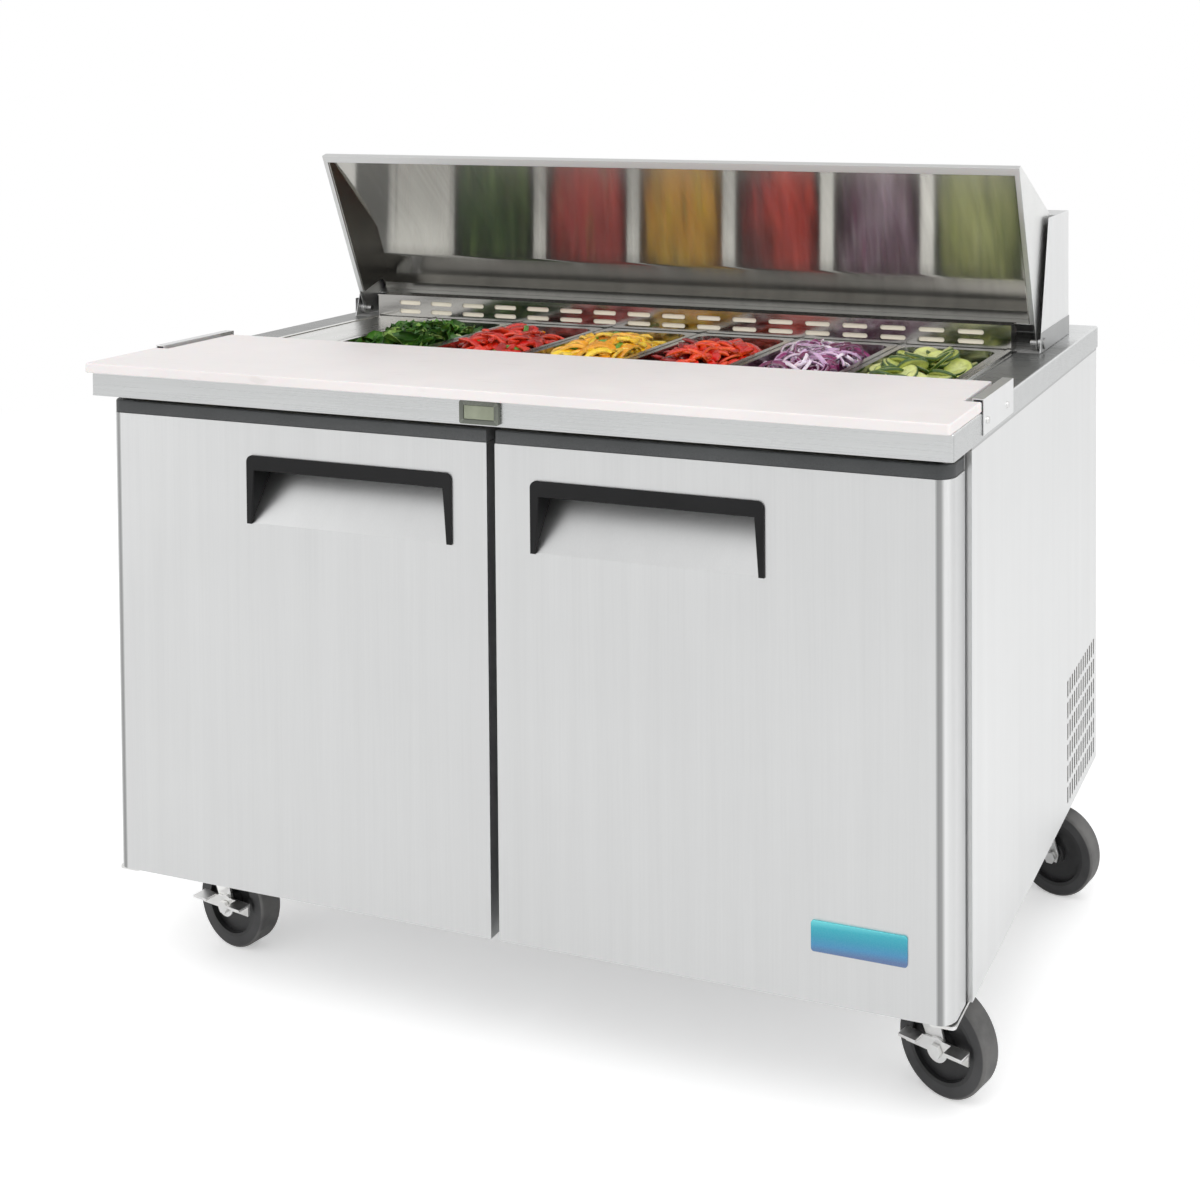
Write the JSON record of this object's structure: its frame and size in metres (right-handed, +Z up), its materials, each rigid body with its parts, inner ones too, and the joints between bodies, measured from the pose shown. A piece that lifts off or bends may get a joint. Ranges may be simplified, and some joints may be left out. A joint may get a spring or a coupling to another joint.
{
  "type": "sandwich prep table",
  "caption": "Refrigerated sandwich prep table with a stainless cabinet, hinged doors, tilting hood lid over food pans, cutting board and swivel casters.",
  "frame": {"origin": "centre of the cabinet base's underside, midway between the worktop's ends and its front and back edges", "axes": "+X to the right seen from the front, +Y towards the back, +Z up; the doors face -Y"},
  "size_m": [1.2641, 0.792, 1.1114],
  "materials": {
    "stainless": "fine brushed",
    "well_steel": "brushed",
    "pan_steel": "satin",
    "mirror_steel": "near-mirror",
    "galvanised": "galvanised",
    "aluminium_liner": "stucco",
    "foam": "rigid foam",
    "door_inner": "satin",
    "dark_plastic": "satin",
    "handle_plastic": "fine grain",
    "gasket_rubber": "matte",
    "badge": "gloss",
    "display": "gloss",
    "board_plastic": "matte",
    "zinc": "zinc plated",
    "wheel_rubber": "satin",
    "compressor_black": "satin",
    "coil": "finned",
    "fan_plastic": "satin",
    "copper": "bare copper",
    "cord_rubber": "matte"
  },
  "bodies": {
    "cabinet": {"air_duct": "well_steel", "back_panel": "galvanised", "base_pan": "galvanised", "board_brackets": "stainless", "caster_plates": "zinc", "compressor": "compressor_black", "condenser_coil": "coil", "control_box": "galvanised", "divider_bars": "well_steel", "door_hinge_brackets": "zinc", "evaporator_unit": "coil", "fan_shroud": "galvanised", "fasteners": "zinc", "front_frame": "stainless", "insulation": "foam", "lid_hinge_pins": "zinc", "liner": "aluminium_liner", "pan_well_liner": "well_steel", "power_cord": "cord_rubber", "rear_housing": "stainless", "refrigerant_lines": "copper", "shelf_supports": "zinc", "side_panel_left": "stainless", "side_panel_right": "stainless", "temperature_display": "display", "wire_shelves": "zinc", "worktop": "stainless"},
    "door_left": {"door_left_skin": "stainless", "door_left_core": "door_inner", "door_left_cap": "dark_plastic", "door_left_gasket": "gasket_rubber", "door_left_handle": "handle_plastic"},
    "door_right": {"door_right_skin": "stainless", "door_right_core": "door_inner", "door_right_cap": "dark_plastic", "door_right_gasket": "gasket_rubber", "door_right_handle": "handle_plastic", "door_badge": "badge"},
    "lid": {"lid_shell": "stainless", "lid_liner": "mirror_steel"},
    "board": {"cutting_board": "board_plastic"},
    "pan_1_body": {"pan_1": "pan_steel"},
    "pan_2_body": {"pan_2": "pan_steel"},
    "pan_3_body": {"pan_3": "pan_steel"},
    "pan_4_body": {"pan_4": "pan_steel"},
    "pan_5_body": {"pan_5": "pan_steel"},
    "pan_6_body": {"pan_6": "pan_steel"},
    "caster_fl": {"caster_fork_fl": "zinc"},
    "wheel_fl": {"caster_wheel_fl": "wheel_rubber"},
    "pedal_fl": {"brake_pedal_fl": "zinc"},
    "caster_fr": {"caster_fork_fr": "zinc"},
    "wheel_fr": {"caster_wheel_fr": "wheel_rubber"},
    "pedal_fr": {"brake_pedal_fr": "zinc"},
    "caster_rl": {"caster_fork_rl": "zinc"},
    "wheel_rl": {"caster_wheel_rl": "wheel_rubber"},
    "caster_rr": {"caster_fork_rr": "zinc"},
    "wheel_rr": {"caster_wheel_rr": "wheel_rubber"},
    "fan_condenser": {"condenser_fan": "fan_plastic"},
    "fan_evaporator": {"evaporator_fan": "fan_plastic"},
    "switch": {"power_switch": "fan_plastic"}
  },
  "joints": [
    {"name": "door_left_hinge", "type": "hinge", "parent": "cabinet", "child": "door_left", "pos_m": [-0.592, -0.345, 0.3], "axis": [0, 0, -1], "range_deg": [0, 110]},
    {"name": "door_right_hinge", "type": "hinge", "parent": "cabinet", "child": "door_right", "pos_m": [0.592, -0.345, 0.3], "axis": [0, 0, 1], "range_deg": [0, 110]},
    {"name": "lid_hinge", "type": "hinge", "parent": "cabinet", "child": "lid", "pos_m": [0, 0.137, 0.694], "axis": [-1, 0, 0], "range_deg": [-69.5, 0]},
    {"name": "board_lift", "type": "slide", "parent": "cabinet", "child": "board", "axis": [0, 0, 1], "range_m": [0, 0.08]},
    {"name": "pan_1_lift", "type": "slide", "parent": "cabinet", "child": "pan_1_body", "axis": [0, 0, 1], "range_m": [0, 0.16]},
    {"name": "pan_2_lift", "type": "slide", "parent": "cabinet", "child": "pan_2_body", "axis": [0, 0, 1], "range_m": [0, 0.16]},
    {"name": "pan_3_lift", "type": "slide", "parent": "cabinet", "child": "pan_3_body", "axis": [0, 0, 1], "range_m": [0, 0.16]},
    {"name": "pan_4_lift", "type": "slide", "parent": "cabinet", "child": "pan_4_body", "axis": [0, 0, 1], "range_m": [0, 0.16]},
    {"name": "pan_5_lift", "type": "slide", "parent": "cabinet", "child": "pan_5_body", "axis": [0, 0, 1], "range_m": [0, 0.16]},
    {"name": "pan_6_lift", "type": "slide", "parent": "cabinet", "child": "pan_6_body", "axis": [0, 0, 1], "range_m": [0, 0.16]},
    {"name": "caster_fl_swivel", "type": "hinge", "parent": "cabinet", "child": "caster_fl", "pos_m": [-0.532, -0.241, -0.012], "axis": [0, 0, 1], "continuous": true},
    {"name": "wheel_fl_spin", "type": "hinge", "parent": "caster_fl", "child": "wheel_fl", "pos_m": [-0.49941, -0.24616, -0.0925], "axis": [0.1564, 0.9877, 0], "continuous": true},
    {"name": "brake_fl_press", "type": "hinge", "parent": "caster_fl", "child": "pedal_fl", "pos_m": [-0.49941, -0.24616, -0.0925], "axis": [0.1564, 0.9877, 0], "range_deg": [0, 15]},
    {"name": "caster_fr_swivel", "type": "hinge", "parent": "cabinet", "child": "caster_fr", "pos_m": [0.532, -0.241, -0.012], "axis": [0, 0, 1], "continuous": true},
    {"name": "wheel_fr_spin", "type": "hinge", "parent": "caster_fr", "child": "wheel_fr", "pos_m": [0.56356, -0.25065, -0.0925], "axis": [0.2924, 0.9563, 0], "continuous": true},
    {"name": "brake_fr_press", "type": "hinge", "parent": "caster_fr", "child": "pedal_fr", "pos_m": [0.56356, -0.25065, -0.0925], "axis": [0.2924, 0.9563, 0], "range_deg": [0, 15]},
    {"name": "caster_rl_swivel", "type": "hinge", "parent": "cabinet", "child": "caster_rl", "pos_m": [-0.55, 0.243, -0.012], "axis": [0, 0, 1], "continuous": true},
    {"name": "wheel_rl_spin", "type": "hinge", "parent": "caster_rl", "child": "wheel_rl", "pos_m": [-0.51772, 0.23614, -0.0925], "axis": [0.2079, 0.9781, 0], "continuous": true},
    {"name": "caster_rr_swivel", "type": "hinge", "parent": "cabinet", "child": "caster_rr", "pos_m": [0.55, 0.243, -0.012], "axis": [0, 0, 1], "continuous": true},
    {"name": "wheel_rr_spin", "type": "hinge", "parent": "caster_rr", "child": "wheel_rr", "pos_m": [0.58228, 0.23614, -0.0925], "axis": [0.2079, 0.9781, 0], "continuous": true},
    {"name": "condenser_fan_spin", "type": "hinge", "parent": "cabinet", "child": "fan_condenser", "pos_m": [0.419, 0.262, 0.104], "axis": [1, 0, 0], "continuous": true},
    {"name": "evaporator_fan_spin", "type": "hinge", "parent": "cabinet", "child": "fan_evaporator", "pos_m": [0, 0.176, 0.51], "axis": [0, 1, 0], "continuous": true},
    {"name": "power_switch_press", "type": "hinge", "parent": "cabinet", "child": "switch", "pos_m": [-0.03, 0.371, 0.06], "axis": [1, 0, 0], "range_deg": [0, 14]}
  ]
}
